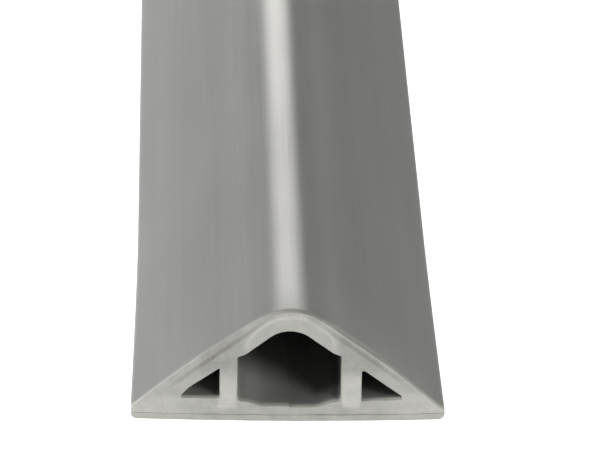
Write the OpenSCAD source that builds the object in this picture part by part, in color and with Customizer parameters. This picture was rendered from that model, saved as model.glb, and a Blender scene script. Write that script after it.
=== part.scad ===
// Cable protector ramp: a low ridge-shaped strip that lies on the floor over a cable.
// X runs across the strip, Y along it and Z up from the floor. The origin is on the floor,
// under the middle of the strip. Every piece is one cross-section drawn straight along Y.

/* [Strip] */
// Width from nose to nose
body_w = 60; // [56:1:76]
// Height from the floor to the crown
body_h = 25; // [24:0.5:28]
// Length of one strip
body_l = 1000; // [200:50:3000]
// Radius of the crown that runs along the top
crown_r = 7.5; // [5:0.5:9]
// Radius of the slight outward bulge of both flanks
flank_r = 200; // [120:10:900]
// Radius of the rounded noses at the two edges
nose_r = 1.2; // [0.8:0.1:1.4]
// Height at which a nose turns into the flank
nose_h = 1.7; // [1.4:0.1:2.5]

/* [Cable channel] */
// Width of the channel between its two webs
channel_w = 20; // [17:0.5:22]
// Height of the channel at its middle
channel_h = 16; // [13:0.5:16.5]
// Radius of the channel's arched roof
roof_r = 6; // [4:0.5:7]
// Steepest slope of the roof beside the arch
roof_slope = 40; // [34:1:42]
// Radius at which the roof flattens towards the webs
shoulder_r = 5; // [3:0.5:6]
// Slope of the roof where it meets a web
shoulder_slope = 12; // [8:1:20]

/* [Walls] */
// Thickness of the base under the channel
base_t = 4; // [3.6:0.1:4.4]
// Thickness of the two upright webs
web_t = 3.8; // [3:0.1:4.5]
// Thickness of the flank wall over a side chamber
skin_t = 3.7; // [3:0.1:4.5]
// Height of the floor inside a side chamber
chamber_floor = 4.8; // [4.4:0.1:5.5]
// Radius of the corners inside a side chamber
chamber_r = 0.4; // [0.2:0.1:0.7]
// Thickness of the softer sole under the base
sole_t = 1.5; // [1:0.1:1.7]

/* [Base flaps] */
// Width of the slit where the two flaps meet
slit_w = 0.2; // [0.1:0.05:0.5]
// Clearance round the bead at the root of a flap
hinge_gap = 0.1; // [0.05:0.01:0.15]
// How far a flap swings down, out of the base
flap_out = 45; // [20:1:50]
// Width of solid base beside each hinge, with no sole
root_w = 2; // [1.5:0.1:2.5]

/* [Hidden] */

LEFT = -1;
RIGHT = 1;
ARC_STEP = 4;       // degrees of a drawn arc between two points
CUT = 1;            // how far a cutting shape runs past what it cuts
ROUND_FN = 96;      // sides drawn on a full circle
COVER_COLOUR = "#9b9a97";
SOLE_COLOUR = "#8c8b86";

channel_x = channel_w / 2;
web_x = channel_x + web_t;
sole_x = channel_x + root_w;

// A flap turns on a bead as thick as the base, which sits against the foot of its web.
bead_r = base_t / 2;
socket_r = bead_r + hinge_gap;
hinge_x = channel_x - socket_r;
hinge = [hinge_x, bead_r];
tip_r = hinge_x - slit_w / 2;
lip_x = hinge_x + socket_r * sin(90 - flap_out);

// Each flank is a shallow arc that leaves the crown and meets the nose smoothly, so its
// centre lies at flank_r less their radius from the centres of both.
crown_c = [0, body_h - crown_r];
nose_c = [body_w / 2 - nose_r, nose_h];
flank_c = meeting_point(crown_c, flank_r - crown_r, nose_c, flank_r - nose_r);
crown_end = angle_of(crown_c - flank_c);
nose_end = angle_of(nose_c - flank_c);

// The roof of the channel: an arch, a straight slope, then a hollow curve to the web.
roof_c = [0, base_t + channel_h - roof_r];
arch_end = roof_c + roof_r * [sin(roof_slope), cos(roof_slope)];
slope_end_x = channel_x - shoulder_r * (sin(roof_slope) - sin(shoulder_slope));
slope_end = [slope_end_x, arch_end.y - (slope_end_x - arch_end.x) * tan(roof_slope)];
shoulder_c = slope_end + shoulder_r * [sin(roof_slope), cos(roof_slope)];

// A side chamber is a triangle whose long side keeps the flank wall's thickness.
chamber_r_out = flank_r - skin_t;
chamber_top = flank_c.y + sqrt(chamber_r_out ^ 2 - (web_x - flank_c.x) ^ 2);
chamber_tip = flank_c.x + sqrt(chamber_r_out ^ 2 - (chamber_floor - flank_c.y) ^ 2);

function angle_of(v) = atan2(v.y, v.x);
function unit(v) = v / norm(v);
function on_circle(centre, r, angle) = centre + r * [cos(angle), sin(angle)];

// Points of an arc from angle a0 to angle a1.
function arc(centre, r, a0, a1) =
  let (steps = max(2, ceil(abs(a1 - a0) / ARC_STEP)))
  [for (i = [0:steps]) on_circle(centre, r, a0 + (a1 - a0) * i / steps)];

// The lower left of the two points at ra from centre a and at rb from centre b.
function meeting_point(a, ra, b, rb) =
  let (
    gap = norm(b - a),
    along = (ra ^ 2 - rb ^ 2 + gap ^ 2) / (2 * gap),
    off = sqrt(ra ^ 2 - along ^ 2),
    dir = (b - a) / gap
  )
  a + along * dir + off * [dir.y, -dir.x];

// The outline with a second half added, mirrored in the strip's middle plane.
function both_halves(points) =
  concat(points, [for (i = [len(points) - 1:-1:0]) [-points[i].x, points[i].y]]);

// A convex outline with every corner rounded to radius r, given anticlockwise.
function rounded(points, r) =
  let (n = len(points))
  [
    for (i = [0:n - 1])
      let (
        corner = points[i],
        back = unit(points[(i + n - 1) % n] - corner),
        ahead = unit(points[(i + 1) % n] - corner),
        half = acos(back * ahead) / 2,
        centre = corner + unit(back + ahead) * r / sin(half),
        middle = angle_of(corner - centre),
        reach = 90 - half
      )
      each arc(centre, r, middle - reach, middle + reach)
  ];

module outer_outline() {
  polygon(both_halves(concat(
    arc([nose_c.x, nose_r], nose_r, -90, 0),
    arc(nose_c, nose_r, 0, nose_end),
    arc(flank_c, flank_r, nose_end, crown_end),
    arc(crown_c, crown_r, crown_end, 90)
  )));
}

module channel_outline() {
  polygon(both_halves(concat(
    [[channel_x, bead_r]],
    arc(shoulder_c, shoulder_r, -90 - shoulder_slope, -90 - roof_slope),
    arc(roof_c, roof_r, 90 - roof_slope, 90)
  )));
}

module chamber_outline() {
  polygon(rounded(
    [[web_x, chamber_floor], [chamber_tip, chamber_floor], [web_x, chamber_top]],
    chamber_r
  ));
}

// The opening through the base that the flaps fill: a gap between two lips, and a socket
// in the foot of each web for a flap's bead.
module flap_opening() {
  translate([-lip_x, -CUT])
    square([2 * lip_x, bead_r + CUT]);
  both_sides()
    translate(hinge)
      circle(socket_r, $fn = ROUND_FN);
}

// The band of a base that is made of the sole's softer material.
module sole_band(x0, x1) {
  translate([x0, 0])
    square([x1 - x0, sole_t]);
}

module fixed_sole_outline() {
  intersection() {
    outer_outline();
    sole_band(sole_x, body_w / 2);
  }
}

module cover_outline() {
  difference() {
    outer_outline();
    channel_outline();
    flap_opening();
    both_sides() {
      chamber_outline();
      translate([sole_x, -CUT])
        square([body_w / 2, sole_t + CUT]);
    }
  }
}

// A whole flap: a bead and a tongue whose tip is an arc round the bead, so that it clears
// the other flap all the way.
module flap_outline() {
  translate(hinge)
    circle(bead_r, $fn = ROUND_FN);
  intersection() {
    square([hinge_x, base_t]);
    translate(hinge)
      circle(tip_r, $fn = ROUND_FN);
  }
}

module flap_sole_outline() {
  intersection() {
    flap_outline();
    sole_band(0, hinge_x - root_w);
  }
}

module flap_body_outline() {
  difference() {
    flap_outline();
    translate([0, -CUT])
      square([hinge_x - root_w, sole_t + CUT]);
  }
}

module on_side(side) {
  if (side == LEFT)
    mirror([1, 0])
      children();
  else
    children();
}

module both_sides() {
  for (side = [LEFT, RIGHT])
    on_side(side)
      children();
}

// Draws a cross-section straight along the strip.
module strip() {
  rotate([90, 0, 0])
    linear_extrude(height = body_l, center = true)
      children();
}

module cover() {
  color(COVER_COLOUR)
    strip() cover_outline();
}

module sole(side) {
  color(SOLE_COLOUR)
    strip() on_side(side) fixed_sole_outline();
}

module flap(side) {
  color(COVER_COLOUR)
    strip() on_side(side) flap_body_outline();
}

module flap_sole(side) {
  color(SOLE_COLOUR)
    strip() on_side(side) flap_sole_outline();
}

cover();
sole(LEFT);  // left_sole
sole(RIGHT);  // right_sole
flap(LEFT);  // left_flap
flap(RIGHT);  // right_flap
flap_sole(LEFT);  // left_flap_sole
flap_sole(RIGHT);  // right_flap_sole
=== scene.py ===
"""Cable protector ramp: the visual model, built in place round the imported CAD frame.

Every piece is one cross-section, drawn in millimetres with X across and Z up, and carried along
the strip. Near each cut end the soft plastic spreads and lifts a little, which settle() does to
all pieces alike, so that they stay joined. The front end is the one at low Y.
"""

import math
from collections import namedtuple

import bmesh
import bpy
import numpy as np
from mathutils import Matrix, Vector
from mathutils.geometry import delaunay_2d_cdt


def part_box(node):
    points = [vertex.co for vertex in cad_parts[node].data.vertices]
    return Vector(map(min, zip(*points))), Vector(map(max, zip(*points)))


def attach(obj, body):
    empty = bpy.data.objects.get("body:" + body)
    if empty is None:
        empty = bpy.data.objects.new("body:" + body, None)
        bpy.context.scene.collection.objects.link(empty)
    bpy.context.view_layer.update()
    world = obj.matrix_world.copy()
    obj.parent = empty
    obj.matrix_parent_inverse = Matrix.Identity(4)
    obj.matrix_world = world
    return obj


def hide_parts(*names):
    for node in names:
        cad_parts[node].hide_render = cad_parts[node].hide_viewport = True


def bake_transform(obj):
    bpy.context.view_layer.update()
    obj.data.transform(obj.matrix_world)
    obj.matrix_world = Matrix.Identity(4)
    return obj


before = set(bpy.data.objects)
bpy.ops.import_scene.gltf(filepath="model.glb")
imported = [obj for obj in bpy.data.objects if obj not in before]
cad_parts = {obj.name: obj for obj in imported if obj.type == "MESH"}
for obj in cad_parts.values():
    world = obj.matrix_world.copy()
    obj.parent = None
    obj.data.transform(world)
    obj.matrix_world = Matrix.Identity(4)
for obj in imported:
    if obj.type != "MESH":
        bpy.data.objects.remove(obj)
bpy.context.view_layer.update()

MM = 0.001

# ---------------------------------------------------------------- sizes, in millimetres
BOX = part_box("cover")
HALF_W = BOX[1].x / MM
HALF_L = BOX[1].y / MM
TOP = BOX[1].z / MM
SOLE_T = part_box("left_sole")[1].z / MM

CROWN_R = 7.5
NOSE_R = 1.2
CHANNEL_X = 10.0
ROOF_TOP = 20.25
ROOF_R = 6.0
SHOULDER_R = 5.0
SHOULDER_SLOPE = 12.0
SHOULDER_CORNER_R = 0.3
FOOT_Z = 4.75  # where the channel floor meets a web
FOOT_R = 0.8  # fillet between a web and the channel floor
# The seam between the cover and a flap meets the fillet halfway round.
SEAM_X = CHANNEL_X - FOOT_R * (1 - math.cos(math.radians(45)))
SEAM_REACH = 0.6  # how far the seam in the plastic slants down and out from the fillet
SLIT_W = 0.02
FLAT_FLOOR_X = 4.6  # the channel floor starts to rise towards the webs here

# The strip is a little uneven, so some sizes differ between left (-1) and right (1).
FLANK_R = {-1: 190.0, 1: 290.0}
NOSE_H = {-1: 2.35, 1: 1.75}
ROOF_SLOPE = {-1: 40.0, 1: 38.0}
FLOOR_Z = {-1: 3.75, 1: 3.55}  # top of the channel floor away from the webs
# A side chamber's corners, from the foot of its web anticlockwise on the right side: x, z, radius.
CHAMBERS = {
    -1: [(13.4, 5.4, 0.15), (20.85, 5.36, 0.15), (19.15, 7.45, 3.0), (13.4, 11.95, 0.15)],
    1: [(14.0, 4.72, 0.15), (16.6, 4.98, 1.5), (22.15, 5.15, 0.25), (14.0, 11.75, 0.4)],
}

# Rounding of a cut edge: its length along the strip, and its depth on a wall that stands upright
# and on one that faces straight up.
RIM_LENGTH = 1.0
RIM_ANGLES = (90, 67.5, 45, 22.5, 0)
CAP_SHARE = 1.25  # the cut face starts this many rim depths in from the outline
SKIN_RIM = (0.28, 0.5)
HOLE_RIM = (0.12, 0.45)
SOLE_RIM = (0.18, 0.18)
BOND_RIM = (0.05, 0.05)  # the fine groove where the sole meets the base
NO_RIM = (0.0, 0.0)

# Where the skin leaves its outline. It does so fully above SKIN_FADE's higher level, and not at
# all below its lower one. Each W is the half width across the strip.
SKIN_FADE = (2.5, 7.0)
ROLL = 0.17  # how far the crown dips at the cut
ROLL_W = 6.0
ROLL_LENGTH = 9.0
ROLL_POWER = 2.2
HAUNCH = 0.3  # how far the skin stands proud beside the crown, all along
HAUNCH_X = 6.5
HAUNCH_W = 3.2
LIP = {-1: 0.5, 1: 0.65}  # how far each flank stands proud at the cut
LIP_X = {-1: 15.0, 1: 15.5}
LIP_W = 11.0
LIP_LENGTH = 26.0
# A slow wave of the crown: height, wavelength, phase in degrees, and half width.
CROWN_WAVE = (0.22, 120.0, 192.0, 8.5)
# Slow waves of the whole skin: height, wavelength, phase in degrees, and how many degrees the
# wave lags for each millimetre across the strip.
SKIN_WAVES = [(0.04, 118.0, 40.0, 2.0), (0.03, 67.0, 150.0, -5.0), (0.02, 31.0, 10.0, 9.0)]

END_LENGTH = 70.0  # the stretch of each end that spreads and lifts
SPREAD = {-1: 0.95, 1: 0.5}
LIFT = {-1: 0.7, 1: 0.42}
LIFT_POWER = {-1: 1.5, 1: 3.0}
END_POWER = 1.4
KNIFE = 0.035  # height of the waves left by the knife in the cut face

# Fineness of the meshes: gaps between points, cross-sections and so on.
POINT_GAP = 0.9
CAP_GAP = 0.8
NEAR_CUT = [1.3, 1.7, 2.3, 3.0, 4.2, 5.5, 7, 10, 14, 19, 25, 32, 40, 48, 56, 64, END_LENGTH]
STATION_GAP = 12.5
CUT_RINGS = 4  # stretches between stations, from each end, that belong to the cut face
WELD_GAP = 0.001
SHARP_ANGLE = math.radians(50)

# ---------------------------------------------------------------- camera
CAMERA_PLACE = Vector((-22.53, -724.88, 435.47))  # from the middle of the front end
CAMERA_YAW = math.radians(1.903)
CAMERA_PITCH = math.radians(28.376)
CAMERA_ROLL = math.radians(0.932)
CAMERA_LENS = 259.5
CAMERA_SENSOR = 36.0


def make_camera():
    """A long lens above the front end, looking along the strip and down."""
    ahead = math.cos(CAMERA_PITCH)
    look = Vector((
        math.sin(CAMERA_YAW) * ahead,
        math.cos(CAMERA_YAW) * ahead,
        -math.sin(CAMERA_PITCH),
    ))
    level = Vector((math.cos(CAMERA_YAW), -math.sin(CAMERA_YAW), 0.0))
    above = level.cross(look)
    right = level * math.cos(CAMERA_ROLL) + above * math.sin(CAMERA_ROLL)
    up = above * math.cos(CAMERA_ROLL) - level * math.sin(CAMERA_ROLL)
    data = bpy.data.cameras.new("camera")
    data.lens = CAMERA_LENS
    data.sensor_width = CAMERA_SENSOR
    data.clip_start = 0.01
    data.clip_end = 20.0
    camera = bpy.data.objects.new("camera", data)
    turn = Matrix((right, up, -look)).transposed().to_4x4()
    place = (CAMERA_PLACE + Vector((0.0, -HALF_L, 0.0))) * MM
    camera.matrix_world = Matrix.Translation(place) @ turn
    bpy.context.scene.collection.objects.link(camera)
    bpy.context.scene.camera = camera


# ---------------------------------------------------------------- outlines
# A run is a stretch of an outline with the same edge at the cut: points with the plastic on
# their left, the depths of its rounded cut edge, and whether the run is outer skin.
Run = namedtuple("Run", "points rim skin")


def unit(v):
    return v / np.linalg.norm(v)


def angle_of(v):
    return math.degrees(math.atan2(v[1], v[0]))


def arc(centre, radius, start, end, gap=0.45):
    """Points of an arc from angle start to angle end, in degrees."""
    length = abs(math.radians(end - start)) * radius
    steps = max(3, math.ceil(length / gap))
    angles = np.radians(np.linspace(start, end, steps + 1))
    return [np.array(centre) + radius * np.array([math.cos(a), math.sin(a)]) for a in angles]


def line(a, b, gap=POINT_GAP):
    """Points of a straight stretch, both ends included."""
    steps = max(1, math.ceil(math.dist(a, b) / gap))
    return [np.array(a) + (np.array(b) - np.array(a)) * i / steps for i in range(steps + 1)]


def chain(*stretches):
    """Stretches joined end to end, without the points that they share."""
    points = []
    for stretch in stretches:
        for p in stretch:
            if not points or math.dist(points[-1], p) > 1e-4:
                points.append(np.array(p, float))
    return points


def rounded(corners):
    """A closed outline through corners (x, z, radius), given anticlockwise."""
    spots = [np.array(c[:2]) for c in corners]
    stretches = []
    for i, (spot, (_, _, radius)) in enumerate(zip(spots, corners)):
        back = unit(spots[i - 1] - spot)
        ahead = unit(spots[(i + 1) % len(spots)] - spot)
        half = math.acos(float(back @ ahead)) / 2
        centre = spot + unit(back + ahead) * radius / math.sin(half)
        reach = radius / math.tan(half)
        start = angle_of(spot + back * reach - centre)
        turn = math.degrees(math.pi - 2 * half)
        side = 1 if back[0] * ahead[1] - back[1] * ahead[0] < 0 else -1
        stretches.append(arc(centre, radius, start, start + side * turn, gap=0.12))
    joined = []
    for i, stretch in enumerate(stretches):
        joined += [stretch, line(stretch[-1], stretches[(i + 1) % len(stretches)][0])]
    points = chain(*joined)
    return points[:-1]


def meeting_point(a, ra, b, rb):
    """The lower left of the two points at ra from centre a and at rb from centre b."""
    gap = math.dist(a, b)
    along = (ra**2 - rb**2 + gap**2) / (2 * gap)
    off = math.sqrt(ra**2 - along**2)
    way = (b - a) / gap
    return a + along * way + off * np.array([way[1], -way[0]])


def mirrored(points):
    """The same outline on the other side of the strip, with the plastic still on its left."""
    return [np.array([-p[0], p[1]]) for p in reversed(points)]


def half_skin(side):
    """The skin of one side, drawn on the right, from the sole's top to the crown."""
    crown = np.array([0.0, TOP - CROWN_R])
    nose = np.array([HALF_W - NOSE_R, NOSE_H[side]])
    flank_r = FLANK_R[side]
    flank = meeting_point(crown, flank_r - CROWN_R, nose, flank_r - NOSE_R)
    nose_end = angle_of(nose - flank)
    crown_end = angle_of(crown - flank)
    return chain(
        line((HALF_W, SOLE_T), (HALF_W, NOSE_H[side])),
        arc(nose, NOSE_R, 0, nose_end, gap=0.25),
        arc(flank, flank_r, nose_end, crown_end, gap=POINT_GAP),
        arc(crown, CROWN_R, crown_end, 90),
    )


def lower_nose():
    """The right nose below the sole's top, going up."""
    return chain(
        arc((HALF_W - NOSE_R, NOSE_R), NOSE_R, -90, 0, gap=0.2),
        line((HALF_W, NOSE_R), (HALF_W, SOLE_T)),
    )


def channel_wall(side):
    """A web and half of the roof, drawn on the left, from halfway round the foot's fillet up."""
    roof = np.array([0.0, ROOF_TOP - ROOF_R])
    steep, shallow = math.radians(ROOF_SLOPE[side]), math.radians(SHOULDER_SLOPE)
    arch_end = roof + ROOF_R * np.array([-math.sin(steep), math.cos(steep)])
    slope_x = -CHANNEL_X + SHOULDER_R * (math.sin(steep) - math.sin(shallow))
    slope_z = arch_end[1] - (arch_end[0] - slope_x) * math.tan(steep)
    hollow = np.array([slope_x, slope_z]) + SHOULDER_R * np.array([-math.sin(steep), math.cos(steep)])
    bend = arc(hollow, SHOULDER_R, -90 + SHOULDER_SLOPE, -90 + ROOF_SLOPE[side])
    corner = bend[0]
    turn_in = corner - np.array([0.0, SHOULDER_CORNER_R])
    return chain(
        foot_fillet(225, 180),
        line((-CHANNEL_X, FOOT_Z + FOOT_R), turn_in),
        [turn_in + 0.7 * (corner - turn_in) + 0.15 * (bend[1] - corner)],
        bend[1:],
        arc(roof, ROOF_R, 90 + ROOF_SLOPE[side], 90),
    )


def foot_seam():
    """Where the cover and a flap are one plastic, from the sole up to halfway round the fillet."""
    top = np.array([-SEAM_X, FOOT_Z + CHANNEL_X - SEAM_X])
    bend = top - SEAM_REACH
    return chain(line((bend[0], SOLE_T), bend, gap=0.6), line(bend, top))


def foot_fillet(start, end):
    """The fillet at the foot of the left web, between two angles in degrees."""
    centre = (-CHANNEL_X + FOOT_R, FOOT_Z + FOOT_R)
    return arc(centre, FOOT_R, start, end, gap=0.12)


def sole_seam():
    """The same plane through the sole, going up."""
    return line((-CHANNEL_X, 0.0), (-CHANNEL_X, SOLE_T), gap=0.6)


def cover_loops():
    left_bond = line((-HALF_W, SOLE_T), (-SEAM_X - SEAM_REACH, SOLE_T))
    body = [
        Run(chain(half_skin(1), mirrored(half_skin(-1))), SKIN_RIM, True),
        Run(left_bond, BOND_RIM, False),
        Run(foot_seam(), NO_RIM, False),
        Run(chain(channel_wall(-1), mirrored(channel_wall(1))), HOLE_RIM, False),
        Run(mirrored(foot_seam()), NO_RIM, False),
        Run(mirrored(left_bond), BOND_RIM, False),
    ]
    loops = [body]
    for side, corners in CHAMBERS.items():
        outline = [np.array([side * p[0], p[1]]) for p in rounded(corners)]
        outline = outline[::-side]
        loops.append([Run(outline + outline[:1], HOLE_RIM, False)])
    return loops


def flap_top(side):
    """The top of a flap, drawn on the left, from its slit edge back to the web."""
    tip = -SLIT_W / 2
    low = FLOOR_Z[side]
    root = -CHANNEL_X + FOOT_R
    rising = [
        np.array([p[0], low + (FOOT_Z - low) * smooth(-p[0], FLAT_FLOOR_X, -root)])
        for p in line((tip, low), (root, low), gap=0.35)
    ]
    return chain(rising, foot_fillet(270, 225))


def flap_loops(side):
    tip = -SLIT_W / 2
    top = flap_top(side)
    runs = [
        Run(line((-SEAM_X - SEAM_REACH, SOLE_T), (tip, SOLE_T), gap=0.35), BOND_RIM, False),
        Run(line((tip, SOLE_T), top[0], gap=0.75), NO_RIM, False),
        Run(top, HOLE_RIM, False),
        Run(foot_seam()[::-1], NO_RIM, False),
    ]
    return [on_side(runs, side)]


def flap_sole_loops(side):
    tip = -SLIT_W / 2
    runs = [
        Run(line((-CHANNEL_X, 0.0), (tip, 0.0), gap=0.35), SOLE_RIM, False),
        Run(line((tip, 0.0), (tip, SOLE_T), gap=0.6), NO_RIM, False),
        Run(line((tip, SOLE_T), (-CHANNEL_X, SOLE_T), gap=0.35), BOND_RIM, False),
        Run(sole_seam()[::-1], NO_RIM, False),
    ]
    return [on_side(runs, side)]


def sole_loops(side):
    under = line((-HALF_W + NOSE_R, 0.0), (-CHANNEL_X, 0.0))
    runs = [
        Run(chain(mirrored(lower_nose()), under), SOLE_RIM, False),
        Run(sole_seam(), NO_RIM, False),
        Run(line((-CHANNEL_X, SOLE_T), (-HALF_W, SOLE_T)), BOND_RIM, False),
    ]
    return [on_side(runs, side)]


def on_side(runs, side):
    """Runs drawn for the left side, as they are or mirrored to the right."""
    if side < 0:
        return runs
    return [Run(mirrored(r.points), r.rim, r.skin) for r in reversed(runs)]


# ---------------------------------------------------------------- from outline to mesh
Outline = namedtuple("Outline", "points moves normals skin")


def closed_outline(runs):
    """One closed outline: its points, how each moves in at the cut, normals and skin weights."""
    points, moves, normals, skin = [], [], [], []
    for run in runs:
        p = np.array(run.points)
        along = np.diff(p, axis=0)
        along /= np.linalg.norm(along, axis=1)[:, None]
        inward = np.stack([-along[:, 1], along[:, 0]], axis=1)
        mean = np.vstack([inward[:1], inward[:-1] + inward[1:], inward[-1:]])
        mean /= np.linalg.norm(mean, axis=1)[:, None]
        facing_up = np.clip(-mean[:, 1], 0, 1) ** 2
        depth = run.rim[0] + (run.rim[1] - run.rim[0]) * facing_up
        move = mean * depth[:, None]
        first = 0
        if points:
            moves[-1] = joined_move(moves[-1], move[0])
            first = 1
        points += list(p[first:])
        moves += list(move[first:])
        normals += list(mean[first:])
        skin += [float(run.skin)] * (len(p) - first)
    moves[0] = joined_move(moves[0], moves[-1])
    points, moves, normals, skin = (np.array(v[:-1]) for v in (points, moves, normals, skin))
    return Outline(points, moves, normals, skin * smooth(points[:, 1], *SKIN_FADE))


def joined_move(a, b):
    """How a point between two runs moves in: the longer move if they agree, else both."""
    lengths = np.linalg.norm(a), np.linalg.norm(b)
    if min(lengths) > 0 and float(a @ b) > 0.9 * lengths[0] * lengths[1]:
        return a if lengths[0] > lengths[1] else b
    return a + b


def smooth(value, low, high):
    """0 below low, 1 above high, and a smooth step between them."""
    t = np.clip((value - low) / (high - low), 0.0, 1.0)
    return t * t * (3 - 2 * t)


def stations():
    """Where cross-sections stand along the strip, and how much of each rim depth they have."""
    cut = [(0.0, CAP_SHARE)]
    for angle in RIM_ANGLES:
        a = math.radians(angle)
        cut.append((RIM_LENGTH * (1 - math.sin(a)), 1 - math.cos(a)))
    ends = cut + [(d, 0.0) for d in NEAR_CUT]
    span = 2 * (HALF_L - END_LENGTH)
    steps = round(span / STATION_GAP)
    middle = [END_LENGTH + span * i / steps for i in range(1, steps)]
    front = [(-HALF_L + d, k) for d, k in ends]
    body = [(-HALF_L + d, 0.0) for d in middle]
    back = [(HALF_L - d, k) for d, k in reversed(ends)]
    return front + body + back


def settle(x, y, z):
    """The spread of the noses and the lift of the base near the cut ends."""
    side = np.where(x < 0, -1, 1)
    near = np.clip(1 - (HALF_L - abs(y)) / END_LENGTH, 0, 1) ** END_POWER
    out = np.abs(x) / HALF_W
    spread = np.where(side < 0, SPREAD[-1], SPREAD[1]) * out**2
    lift = np.where(
        side < 0,
        LIFT[-1] * out ** LIFT_POWER[-1],
        LIFT[1] * out ** LIFT_POWER[1],
    )
    low = np.clip(1 - z / TOP, 0, 1)
    return x + side * spread * near, z + lift * near * low


def skin_depth(x, y):
    """How far the skin lies inside its outline: its dips and waves, less its proud places."""
    from_cut = HALF_L - abs(y)
    depth = ROLL * max(0.0, 1 - from_cut / ROLL_LENGTH) ** ROLL_POWER * hump(x, 0.0, ROLL_W)
    near = max(0.0, 1 - from_cut / LIP_LENGTH) ** 2
    for side in (-1, 1):
        depth = depth - HAUNCH * hump(side * x, HAUNCH_X, HAUNCH_W)
        depth = depth - LIP[side] * near * hump(side * x, LIP_X[side], LIP_W)
    height, length, phase, half_width = CROWN_WAVE
    depth = depth + wave(height, 360 * y / length + phase) * hump(x, 0.0, half_width)
    for height, length, phase, lag in SKIN_WAVES:
        depth = depth + wave(height, 360 * y / length + phase + lag * x)
    return depth


def hump(x, middle, half_width):
    """A smooth hump of height 1 across the strip."""
    return np.exp(-(((x - middle) / half_width) ** 2))


def wave(height, degrees):
    """A wave that only dips, by twice its height at most."""
    return height * (1 - np.sin(np.radians(degrees)))


def knife_waves(x, z):
    """How far the cut face lies inside the strip's end."""
    slow = np.sin(0.9 * x + 1.3 * z) + np.sin(1.7 * z - 0.6 * x + 2.0)  # from -2 to 2
    return KNIFE * (2 + slow)


def section_at(outline, y, share):
    """An outline's points at one station, before the ends settle."""
    ring = outline.points + outline.moves * share
    depth = outline.skin * skin_depth(ring[:, 0], y)
    return ring + outline.normals * depth[:, None]


def in_place(flat, y):
    """Corners of the mesh for points of the section at one station."""
    x, z = settle(flat[:, 0], y, flat[:, 1])
    if HALF_L - abs(y) < 1e-6:
        depth = knife_waves(flat[:, 0], flat[:, 1])
    else:
        depth = np.zeros(len(flat))
    return [(x[i], y - math.copysign(depth[i], y), z[i]) for i in range(len(flat))]


def cap_faces(loops_2d):
    """Triangles that fill the outlines, and the grid of points added inside them."""
    points, edges = [], []
    for loop in loops_2d:
        first = len(points)
        points += [Vector(p) for p in loop]
        edges += [(first + i, first + (i + 1) % len(loop)) for i in range(len(loop))]
    rim_count = len(points)
    points += [Vector(p) for p in grid_inside(loops_2d)]
    made = delaunay_2d_cdt(points, edges, [], 1, 1e-6)
    spots, faces = made[0], made[2]
    index = [sources[0] for sources in made[3]]
    kept = []
    for face in faces:
        middle = np.mean([spots[i][:] for i in face], axis=0)
        if in_plastic(middle, loops_2d):
            kept.append([index[i] for i in face])
    return np.array([p[:] for p in points[rim_count:]]).reshape(-1, 2), kept


def grid_inside(loops_2d):
    """Points of a triangular grid that lie in the plastic and clear of its edges."""
    rim = np.vstack(loops_2d)
    low, high = rim.min(axis=0), rim.max(axis=0)
    step_z = CAP_GAP * math.sqrt(0.75)
    spots = []
    for row, z in enumerate(np.arange(low[1] + CAP_GAP / 2, high[1], step_z)):
        for x in np.arange(low[0] + CAP_GAP * (0.5 + 0.5 * (row % 2)), high[0], CAP_GAP):
            here = np.array([x, z])
            clear = np.linalg.norm(rim - here, axis=1).min() > CAP_GAP * 0.5
            if clear and in_plastic(here, loops_2d):
                spots.append(here)
    return spots


def in_plastic(spot, loops_2d):
    """True where a point is inside the outer outline and outside every hole."""
    return sum(inside(spot, loop) for loop in loops_2d) % 2 == 1


def inside(spot, loop):
    """1 where a point lies inside a closed outline, else 0."""
    a, b = loop, np.roll(loop, -1, axis=0)
    crosses = (a[:, 1] > spot[1]) != (b[:, 1] > spot[1])
    with np.errstate(divide="ignore", invalid="ignore"):
        at = (b[:, 0] - a[:, 0]) * (spot[1] - a[:, 1]) / (b[:, 1] - a[:, 1]) + a[:, 0]
    return int(np.count_nonzero(crosses & (spot[0] < at)) % 2)


def make_strip(name, loops, skin_material, cut_material):
    """A closed mesh of a cross-section carried along the whole strip."""
    outlines = [closed_outline(runs) for runs in loops]
    along = stations()
    verts, faces, on_cut = [], [], []
    ring_starts = []
    for outline in outlines:
        count = len(outline.points)
        base = len(verts)
        ring_starts.append(base)
        for s, (y, share) in enumerate(along):
            verts += in_place(section_at(outline, y, share), y)
            if s == 0:
                continue
            a, b = base + (s - 1) * count, base + s * count
            faces += [(a + (i + 1) % count, a + i, b + i, b + (i + 1) % count) for i in range(count)]
            on_cut += [s <= CUT_RINGS or s >= len(along) - CUT_RINGS] * count
    for s in (0, len(along) - 1):
        y, share = along[s]
        rim = []
        for outline, base in zip(outlines, ring_starts):
            count = len(outline.points)
            rim += range(base + s * count, base + (s + 1) * count)
        inner, triangles = cap_faces([section_at(outline, y, share) for outline in outlines])
        rim += range(len(verts), len(verts) + len(inner))
        verts += in_place(inner, y)
        way = 1 if s == 0 else -1
        faces += [tuple(rim[i] for i in triangle[::way]) for triangle in triangles]
        on_cut += [True] * len(triangles)
    mesh = bpy.data.meshes.new(name)
    mesh.from_pydata([(x * MM, y * MM, z * MM) for x, y, z in verts], [], faces)
    mesh.materials.append(skin_material)
    mesh.materials.append(cut_material)
    mesh.polygons.foreach_set("material_index", [int(c) for c in on_cut])
    mesh.polygons.foreach_set("use_smooth", [True] * len(faces))
    weld(mesh)
    mesh.set_sharp_from_angle(angle=SHARP_ANGLE)
    mesh.update()
    piece = bpy.data.objects.new(name, mesh)
    bpy.context.scene.collection.objects.link(piece)
    return piece


def weld(mesh):
    """Joins points that coincide, where an edge has no rounding, and drops the empty faces."""
    shape = bmesh.new()
    shape.from_mesh(mesh)
    bmesh.ops.remove_doubles(shape, verts=shape.verts, dist=WELD_GAP * MM)
    shape.to_mesh(mesh)
    shape.free()


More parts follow.
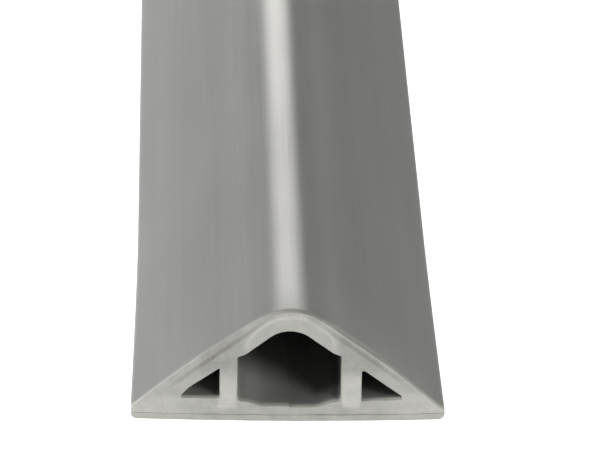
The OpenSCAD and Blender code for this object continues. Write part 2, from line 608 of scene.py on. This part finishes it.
# ---------------------------------------------------------------- materials
SKIN_TINT = (1.0, 0.998, 0.972)
CUT_TINT = (1.0, 0.988, 0.933)

# Where tones change, in millimetres across or up. A band is its two edges and how softly it
# ends outside them; a step is where it starts and where it is complete.
# Painted light: the outer part of the left flank is made lighter, where it faces the lamp on the
# left.
LIT_LEFT_EDGE_STEP = (-16.0, -30.0)
# Painted shade: the right side of the skin is made darker, as the light falls from the left.
SHADED_RIGHT_SIDE_STEP = (4.0, 14.0)
# Painted highlight on the right flank beside the front cut.
RIM_GLOW_BAND = (9.0, 16.0, 3.5)
# Painted light on the lower left of the channel.
LIT_FLOOR_STEP = (4.0, -8.0)
LIT_FLOOR_BAND = (3.0, 6.0, 3.0)
# Painted shade in the upper part of the channel.
SHADED_ROOF_STEP = (5.0, 11.0)
WEB_BAND = (10.6, 13.6, 0.6)
WEB_FOOT_STEP = (2.6, 3.6)
WEB_TOP_STEP = (13.0, 7.0)
ARM_BAND = (10.5, 16.5, 2.5)
ARM_STEP = (9.5, 12.0)
NOSE_STEP = (17.0, 24.0)
NOSE_BAND = (2.2, 5.0, 2.0)
FLOW_CENTRE = (0.2, 0.0, 14.2)
FLOW_BAND = (9.0, 9.15, 0.55)  # distance from FLOW_CENTRE
FLOW_STEP = (15.0, 19.0)
GREY_BAND = (0.4, 0.85, 0.4)  # depth below the flank line
GREY_SPAN = (6.5, 20.0, 5.0)
# Painted shade on the base: between the webs, and under the right side chamber.
BASE_BAND = (-9.8, 9.8, 0.6)
BASE_LEVEL = (1.9, 3.4, 0.8)
CHAMBER_BAND = (14.5, 21.3, 0.7)
CHAMBER_LEVEL = (3.5, 4.2, 0.4)
BOND_LEVEL = (1.45, 1.75, 0.35)
BOND_STEP = (-4.0, 16.0)

# A straight line just above each flank, which falls FLANK_FALL for each millimetre outwards.
FLANK_LINE_TOP = 27.0
FLANK_FALL = 0.784

# A line between the channel's roof and the skin above it, which falls ROOF_FALL likewise; the painted
# shade of the channel stays below it.
ROOF_LINE_TOP = 21.0
ROOF_FALL = 0.6


class Shading:
    """One material and its node tree. Values may be numbers, colours or other nodes' outputs."""

    def __init__(self, name):
        self.material = bpy.data.materials.new(name)
        self.material.use_nodes = True
        self.tree = self.material.node_tree
        self.tree.nodes.clear()
        out = self.tree.nodes.new("ShaderNodeOutputMaterial")
        self.shader = self.tree.nodes.new("ShaderNodeBsdfPrincipled")
        self.tree.links.new(self.shader.outputs["BSDF"], out.inputs["Surface"])
        place = self.tree.nodes.new("ShaderNodeTexCoord").outputs["Object"]
        self.place = self.vector("MULTIPLY", place, (1 / MM, 1 / MM, 1 / MM))
        parts = self.node("SeparateXYZ", Vector=self.place)
        self.x, self.y, self.z = parts.outputs

    def put(self, socket, value):
        if isinstance(value, bpy.types.NodeSocket):
            self.tree.links.new(value, socket)
        else:
            socket.default_value = value

    def node(self, kind, settings=None, **inputs):
        node = self.tree.nodes.new("ShaderNode" + kind)
        for key, value in (settings or {}).items():
            setattr(node, key, value)
        for key, value in inputs.items():
            self.put(node.inputs[key.replace("_", " ")], value)
        return node

    def maths(self, operation, *values):
        node = self.node("Math", {"operation": operation})
        for socket, value in zip(node.inputs, values):
            self.put(socket, value)
        return node.outputs[0]

    def vector(self, operation, *values):
        node = self.node("VectorMath", {"operation": operation})
        for socket, value in zip(node.inputs, values):
            self.put(socket, value)
        return node.outputs[0]

    def step(self, value, low, high):
        """0 at low, 1 at high, with a smooth step between; low may be above high."""
        settings = {"interpolation_type": "SMOOTHSTEP"}
        node = self.node("MapRange", settings, Value=value, From_Min=low, From_Max=high)
        return node.outputs[0]

    def within(self, value, low, high, soft):
        """1 where value lies between low and high, falling to 0 over soft outside them."""
        rise = self.step(value, low - soft, low)
        fall = self.step(value, high + soft, high)
        return self.maths("MULTIPLY", rise, fall)

    def noise(self, sizes, detail=2.0, seed=0.0):
        """Noise about 0, from -0.5 to 0.5, with features of the given sizes along X, Y and Z."""
        stretched = self.vector("MULTIPLY", self.place, tuple(1 / size for size in sizes))
        moved = self.vector("ADD", stretched, (seed, seed * 0.7, -seed))
        node = self.node("TexNoise", None, Vector=moved, Scale=1.0, Detail=detail)
        return self.maths("SUBTRACT", node.outputs[0], 0.5)

    def sum(self, start, *terms):
        """start plus every (amount, value) term."""
        total = start
        for amount, value in terms:
            total = self.maths("MULTIPLY_ADD", value, amount, total)
        return total

    def colour(self, tone, tint):
        """A grey of the given tone, tinted."""
        node = self.node("VectorMath", {"operation": "SCALE"})
        node.inputs[0].default_value = tint
        self.put(node.inputs["Scale"], tone)
        return node.outputs[0]

    def bump(self, height, depth):
        """Surface relief, depth millimetres deep."""
        node = self.node("Bump", None, Height=height, Distance=depth * MM)
        self.put(self.shader.inputs["Normal"], node.outputs[0])


def extruded_skin(name, tone, roughness):
    """Soft extruded plastic: faint streaks along the strip, fine grain and rubbed patches, with
    painted light on the outer left flank, beside each cut, on the right flank by the front cut and
    low in the channel, and painted shade on the right side and in the channel's upper part.
    """
    m = Shading(name)
    streaks = m.noise((0.5, 60.0, 0.8), detail=3.0)
    bands = m.noise((4.0, 400.0, 6.0), detail=1.0, seed=3.1)
    rubbed = m.noise((9.0, 30.0, 9.0), detail=3.0, seed=7.7)
    grain = m.noise((0.12, 0.12, 0.12), detail=2.0, seed=1.3)
    # Painted light on the outer left flank.
    lit_left_edge = m.step(m.x, *LIT_LEFT_EDGE_STEP)
    # Painted shade on the right side.
    shaded_right_side = m.step(m.x, *SHADED_RIGHT_SIDE_STEP)
    share = m.sum(
        1.0,
        (0.20, streaks),
        (0.12, bands),
        (0.10, rubbed),
        (0.08, grain),
        (0.05, lit_left_edge),
        (-0.16, shaded_right_side),
        (0.3, right_rim_glow(m)),
        (0.34, cut_rim_highlight(m)),
        (0.6, lit_channel_floor(m)),
        (-0.4, shaded_channel_roof(m)),
    )
    m.put(m.shader.inputs["Base Color"], m.colour(m.maths("MULTIPLY", share, tone), SKIN_TINT))
    rough = m.sum(roughness, (0.08, streaks), (0.06, rubbed), (0.06, grain))
    m.put(m.shader.inputs["Roughness"], rough)
    m.shader.inputs["IOR"].default_value = 1.5
    m.bump(m.sum(0.5, (0.5, streaks), (0.25, grain)), 0.02)
    return m.material


def right_rim_glow(m):
    """Painted highlight: a paler patch on the right flank beside the cut at the front end, where the
    rolled edge catches the light.
    """
    near = m.step(m.y, -HALF_L + 3.2, -HALF_L + 0.6)
    return m.maths("MULTIPLY", near, m.within(m.x, *RIM_GLOW_BAND))


def cut_rim_highlight(m):
    """Painted highlight: the narrow pale line all round the strip beside each cut, where the rounded
    edge catches the light.
    """
    return m.step(m.maths("ABSOLUTE", m.y), HALF_L - 1.6, HALF_L - 0.7)


def lit_channel_floor(m):
    """Painted light: the left part of the channel's floor and wall, made paler than the outer skin
    where light from the front right falls into the channel.
    """
    in_wall = m.step(m.x, -CHANNEL_X - 0.3, -CHANNEL_X - 0.1)
    across = m.maths("MULTIPLY", m.step(m.x, *LIT_FLOOR_STEP), in_wall)
    return m.maths("MULTIPLY", across, m.within(m.z, *LIT_FLOOR_BAND))


def shaded_channel_roof(m):
    """Painted shade: the upper part of the channel, made darker than the outer skin above it, where
    little light reaches inside.
    """
    across = m.maths("ABSOLUTE", m.x)
    in_wall = m.step(across, CHANNEL_X + 0.3, CHANNEL_X + 0.2)
    slanted = m.maths("ADD", m.z, m.maths("MULTIPLY", across, ROOF_FALL))
    below = m.step(slanted, ROOF_LINE_TOP + 1.5, ROOF_LINE_TOP)
    return m.maths("MULTIPLY", m.maths("MULTIPLY", in_wall, below), m.step(m.z, *SHADED_ROOF_STEP))


def cut_plastic(name, tone):
    """A freshly cut end: matt and cloudy, with flow lines where the plastic ran together, a painted
    highlight along its rounded edge and painted shade on the base.
    """
    m = Shading(name)
    cloud = m.noise((2.4, 2.4, 2.4), detail=4.0, seed=2.0)
    speck = m.noise((0.4, 0.4, 0.4), detail=3.0, seed=5.0)
    scratches = m.noise((3.5, 3.5, 0.14), detail=2.0, seed=9.0)
    # Painted highlight along the rounded cut edge, which is also made smoother.
    rounded_edge = m.step(m.maths("ABSOLUTE", m.y), HALF_L - 0.13, HALF_L - 0.25)
    share = m.sum(
        1.0,
        (0.34, cloud),
        (0.22, speck),
        (0.12, scratches),
        (0.25, web_faces(m)),
        (0.18, nose_faces(m)),
        (0.17, flow_line(m)),
        (-0.22, under_skin(m)),
        (-0.03, shaded_base_band(m)),
        (-0.19, arms(m)),
        (-0.08, bond_line(m)),
        (0.25, rounded_edge),
    )
    m.put(m.shader.inputs["Base Color"], m.colour(m.maths("MULTIPLY", share, tone), CUT_TINT))
    m.put(m.shader.inputs["Roughness"], m.sum(0.6, (-0.22, rounded_edge)))
    m.bump(m.sum(0.5, (0.4, speck), (0.5, scratches)), 0.03)
    return m.material


def web_faces(m):
    """The cut faces of the two webs, brighter towards their feet."""
    across = m.within(m.maths("ABSOLUTE", m.x), *WEB_BAND)
    level = m.maths("MULTIPLY", m.step(m.z, *WEB_FOOT_STEP), m.step(m.z, *WEB_TOP_STEP))
    return m.maths("MULTIPLY", across, level)


def arms(m):
    """The greyer stretch of each arm above its web."""
    across = m.within(m.maths("ABSOLUTE", m.x), *ARM_BAND)
    return m.maths("MULTIPLY", across, m.step(m.z, *ARM_STEP))


def nose_faces(m):
    """The solid corners outside the side chambers."""
    across = m.step(m.maths("ABSOLUTE", m.x), *NOSE_STEP)
    return m.maths("MULTIPLY", across, m.within(m.z, *NOSE_BAND))


def flow_line(m):
    """A pale line inside the crown, on a circle round the middle of the channel."""
    from_middle = m.vector("SUBTRACT", m.place, FLOW_CENTRE)
    flat = m.vector("MULTIPLY", from_middle, (1.0, 0.0, 1.0))
    length = m.node("VectorMath", {"operation": "LENGTH"})
    m.put(length.inputs[0], flat)
    ring = m.within(length.outputs["Value"], *FLOW_BAND)
    return m.maths("MULTIPLY", ring, m.step(m.z, *FLOW_STEP))


def under_skin(m):
    """A greyer band that follows the flanks, just inside the skin."""
    across = m.maths("ABSOLUTE", m.x)
    below = m.sum(-FLANK_LINE_TOP, (FLANK_FALL, across), (1.0, m.z))
    depth = m.maths("MULTIPLY", below, -math.cos(math.atan(FLANK_FALL)))
    band = m.within(depth, *GREY_BAND)
    return m.maths("MULTIPLY", band, m.within(across, *GREY_SPAN))


def shaded_base_band(m):
    """Painted shade: the base between the webs and under the right side chamber, made greyer where
    the cut face there is recessed and faces away from the light.
    """
    base = m.maths("MULTIPLY", m.within(m.x, *BASE_BAND), m.within(m.z, *BASE_LEVEL))
    chamber = m.maths("MULTIPLY", m.within(m.x, *CHAMBER_BAND), m.within(m.z, *CHAMBER_LEVEL))
    return m.maths("ADD", base, chamber)


def bond_line(m):
    """The darker line where the sole meets the base, clearest on the right."""
    line_here = m.within(m.z, *BOND_LEVEL)
    patches = m.noise((9.0, 9.0, 9.0), seed=4.0)
    clear = m.sum(0.6, (1.0, patches), (0.5, m.step(m.x, *BOND_STEP)))
    return m.maths("MULTIPLY", line_here, clear)


# ---------------------------------------------------------------- stage
FLOOR_GLOW = 1.0
FLOOR_HALF = 6.0
FLOOR_DROP = 0.0002
# Azimuth and elevation in degrees, distance, width and height in metres, power in watts, colour.
LIGHTS = {
    "left": (-89, 15, 2.5, (1.8, 0.8), 60.0, (1.0, 1.0, 1.0)),
    "front_right": (133, 29, 0.8, (0.3, 0.2), 2.4, (0.99, 0.995, 0.95)),
    "back": (1.0, 20.5, 2.6, (1.1, 0.4), 42.0, (1.0, 0.987, 0.95)),
}


def make_floor():
    """A plain white floor, bright enough to leave no shadow."""
    mesh = bpy.data.meshes.new("floor")
    corners = [(x * FLOOR_HALF, y * FLOOR_HALF, 0) for x, y in ((-1, -1), (1, -1), (1, 1), (-1, 1))]
    mesh.from_pydata(corners, [], [(0, 1, 2, 3)])
    floor = bpy.data.objects.new("floor", mesh)
    floor.location.z = -FLOOR_DROP
    m = Shading("floor_white")
    m.shader.inputs["Base Color"].default_value = (0.8, 0.8, 0.8, 1.0)
    m.shader.inputs["Roughness"].default_value = 0.9
    m.shader.inputs["Specular IOR Level"].default_value = 0.0
    m.shader.inputs["Emission Color"].default_value = (1.0, 1.0, 1.0, 1.0)
    m.shader.inputs["Emission Strength"].default_value = FLOOR_GLOW
    mesh.materials.append(m.material)
    bpy.context.scene.collection.objects.link(floor)


def add_light(name, azimuth, elevation, distance, size, power, colour):
    """A soft rectangular light facing the front end; azimuth 0 is behind the strip."""
    a, e = math.radians(azimuth), math.radians(elevation)
    way = Vector((math.sin(a) * math.cos(e), math.cos(a) * math.cos(e), math.sin(e)))
    data = bpy.data.lights.new(name, "AREA")
    data.shape = "RECTANGLE"
    data.size, data.size_y = size
    data.energy = power
    data.color = colour
    light = bpy.data.objects.new(name, data)
    light.location = Vector((0.0, -HALF_L * MM, 0.0)) + way * distance
    light.rotation_euler = (-way).to_track_quat("-Z", "Y").to_euler()
    light.visible_camera = False
    bpy.context.scene.collection.objects.link(light)


def light_stage():
    """The lights, and a world that is plain white to the camera and gives no light itself."""
    for name, light in LIGHTS.items():
        add_light(name, *light)
    world = bpy.data.worlds.new("studio")
    world.use_nodes = True
    tree = world.node_tree
    background = tree.nodes["Background"]
    background.inputs["Color"].default_value = (1.0, 1.0, 1.0, 1.0)
    seen = tree.nodes.new("ShaderNodeLightPath").outputs["Is Camera Ray"]
    tree.links.new(seen, background.inputs["Strength"])
    bpy.context.scene.world = world
    bpy.context.scene.view_settings.view_transform = "Standard"


# ---------------------------------------------------------------- the object
make_camera()
skin = extruded_skin("soft_grey_skin", tone=0.255, roughness=0.46)
cut = cut_plastic("cut_face", tone=0.42)
sole_skin = extruded_skin("sole_skin", tone=0.23, roughness=0.5)
sole_cut = cut_plastic("sole_cut", tone=0.41)

cover = make_strip("cover_strip", cover_loops(), skin, cut)
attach(cover, "ramp")
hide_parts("cover")

for side, word in ((-1, "left"), (1, "right")):
    sole = make_strip(word + "_sole_strip", sole_loops(side), sole_skin, sole_cut)
    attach(sole, "ramp")
    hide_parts(word + "_sole")

    flap = make_strip(word + "_flap_strip", flap_loops(side), skin, cut)
    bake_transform(flap)
    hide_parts(word + "_flap")

    flap_sole = make_strip(word + "_flap_sole_strip", flap_sole_loops(side), sole_skin, sole_cut)
    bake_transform(flap_sole)
    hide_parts(word + "_flap_sole")

make_floor()
light_stage()
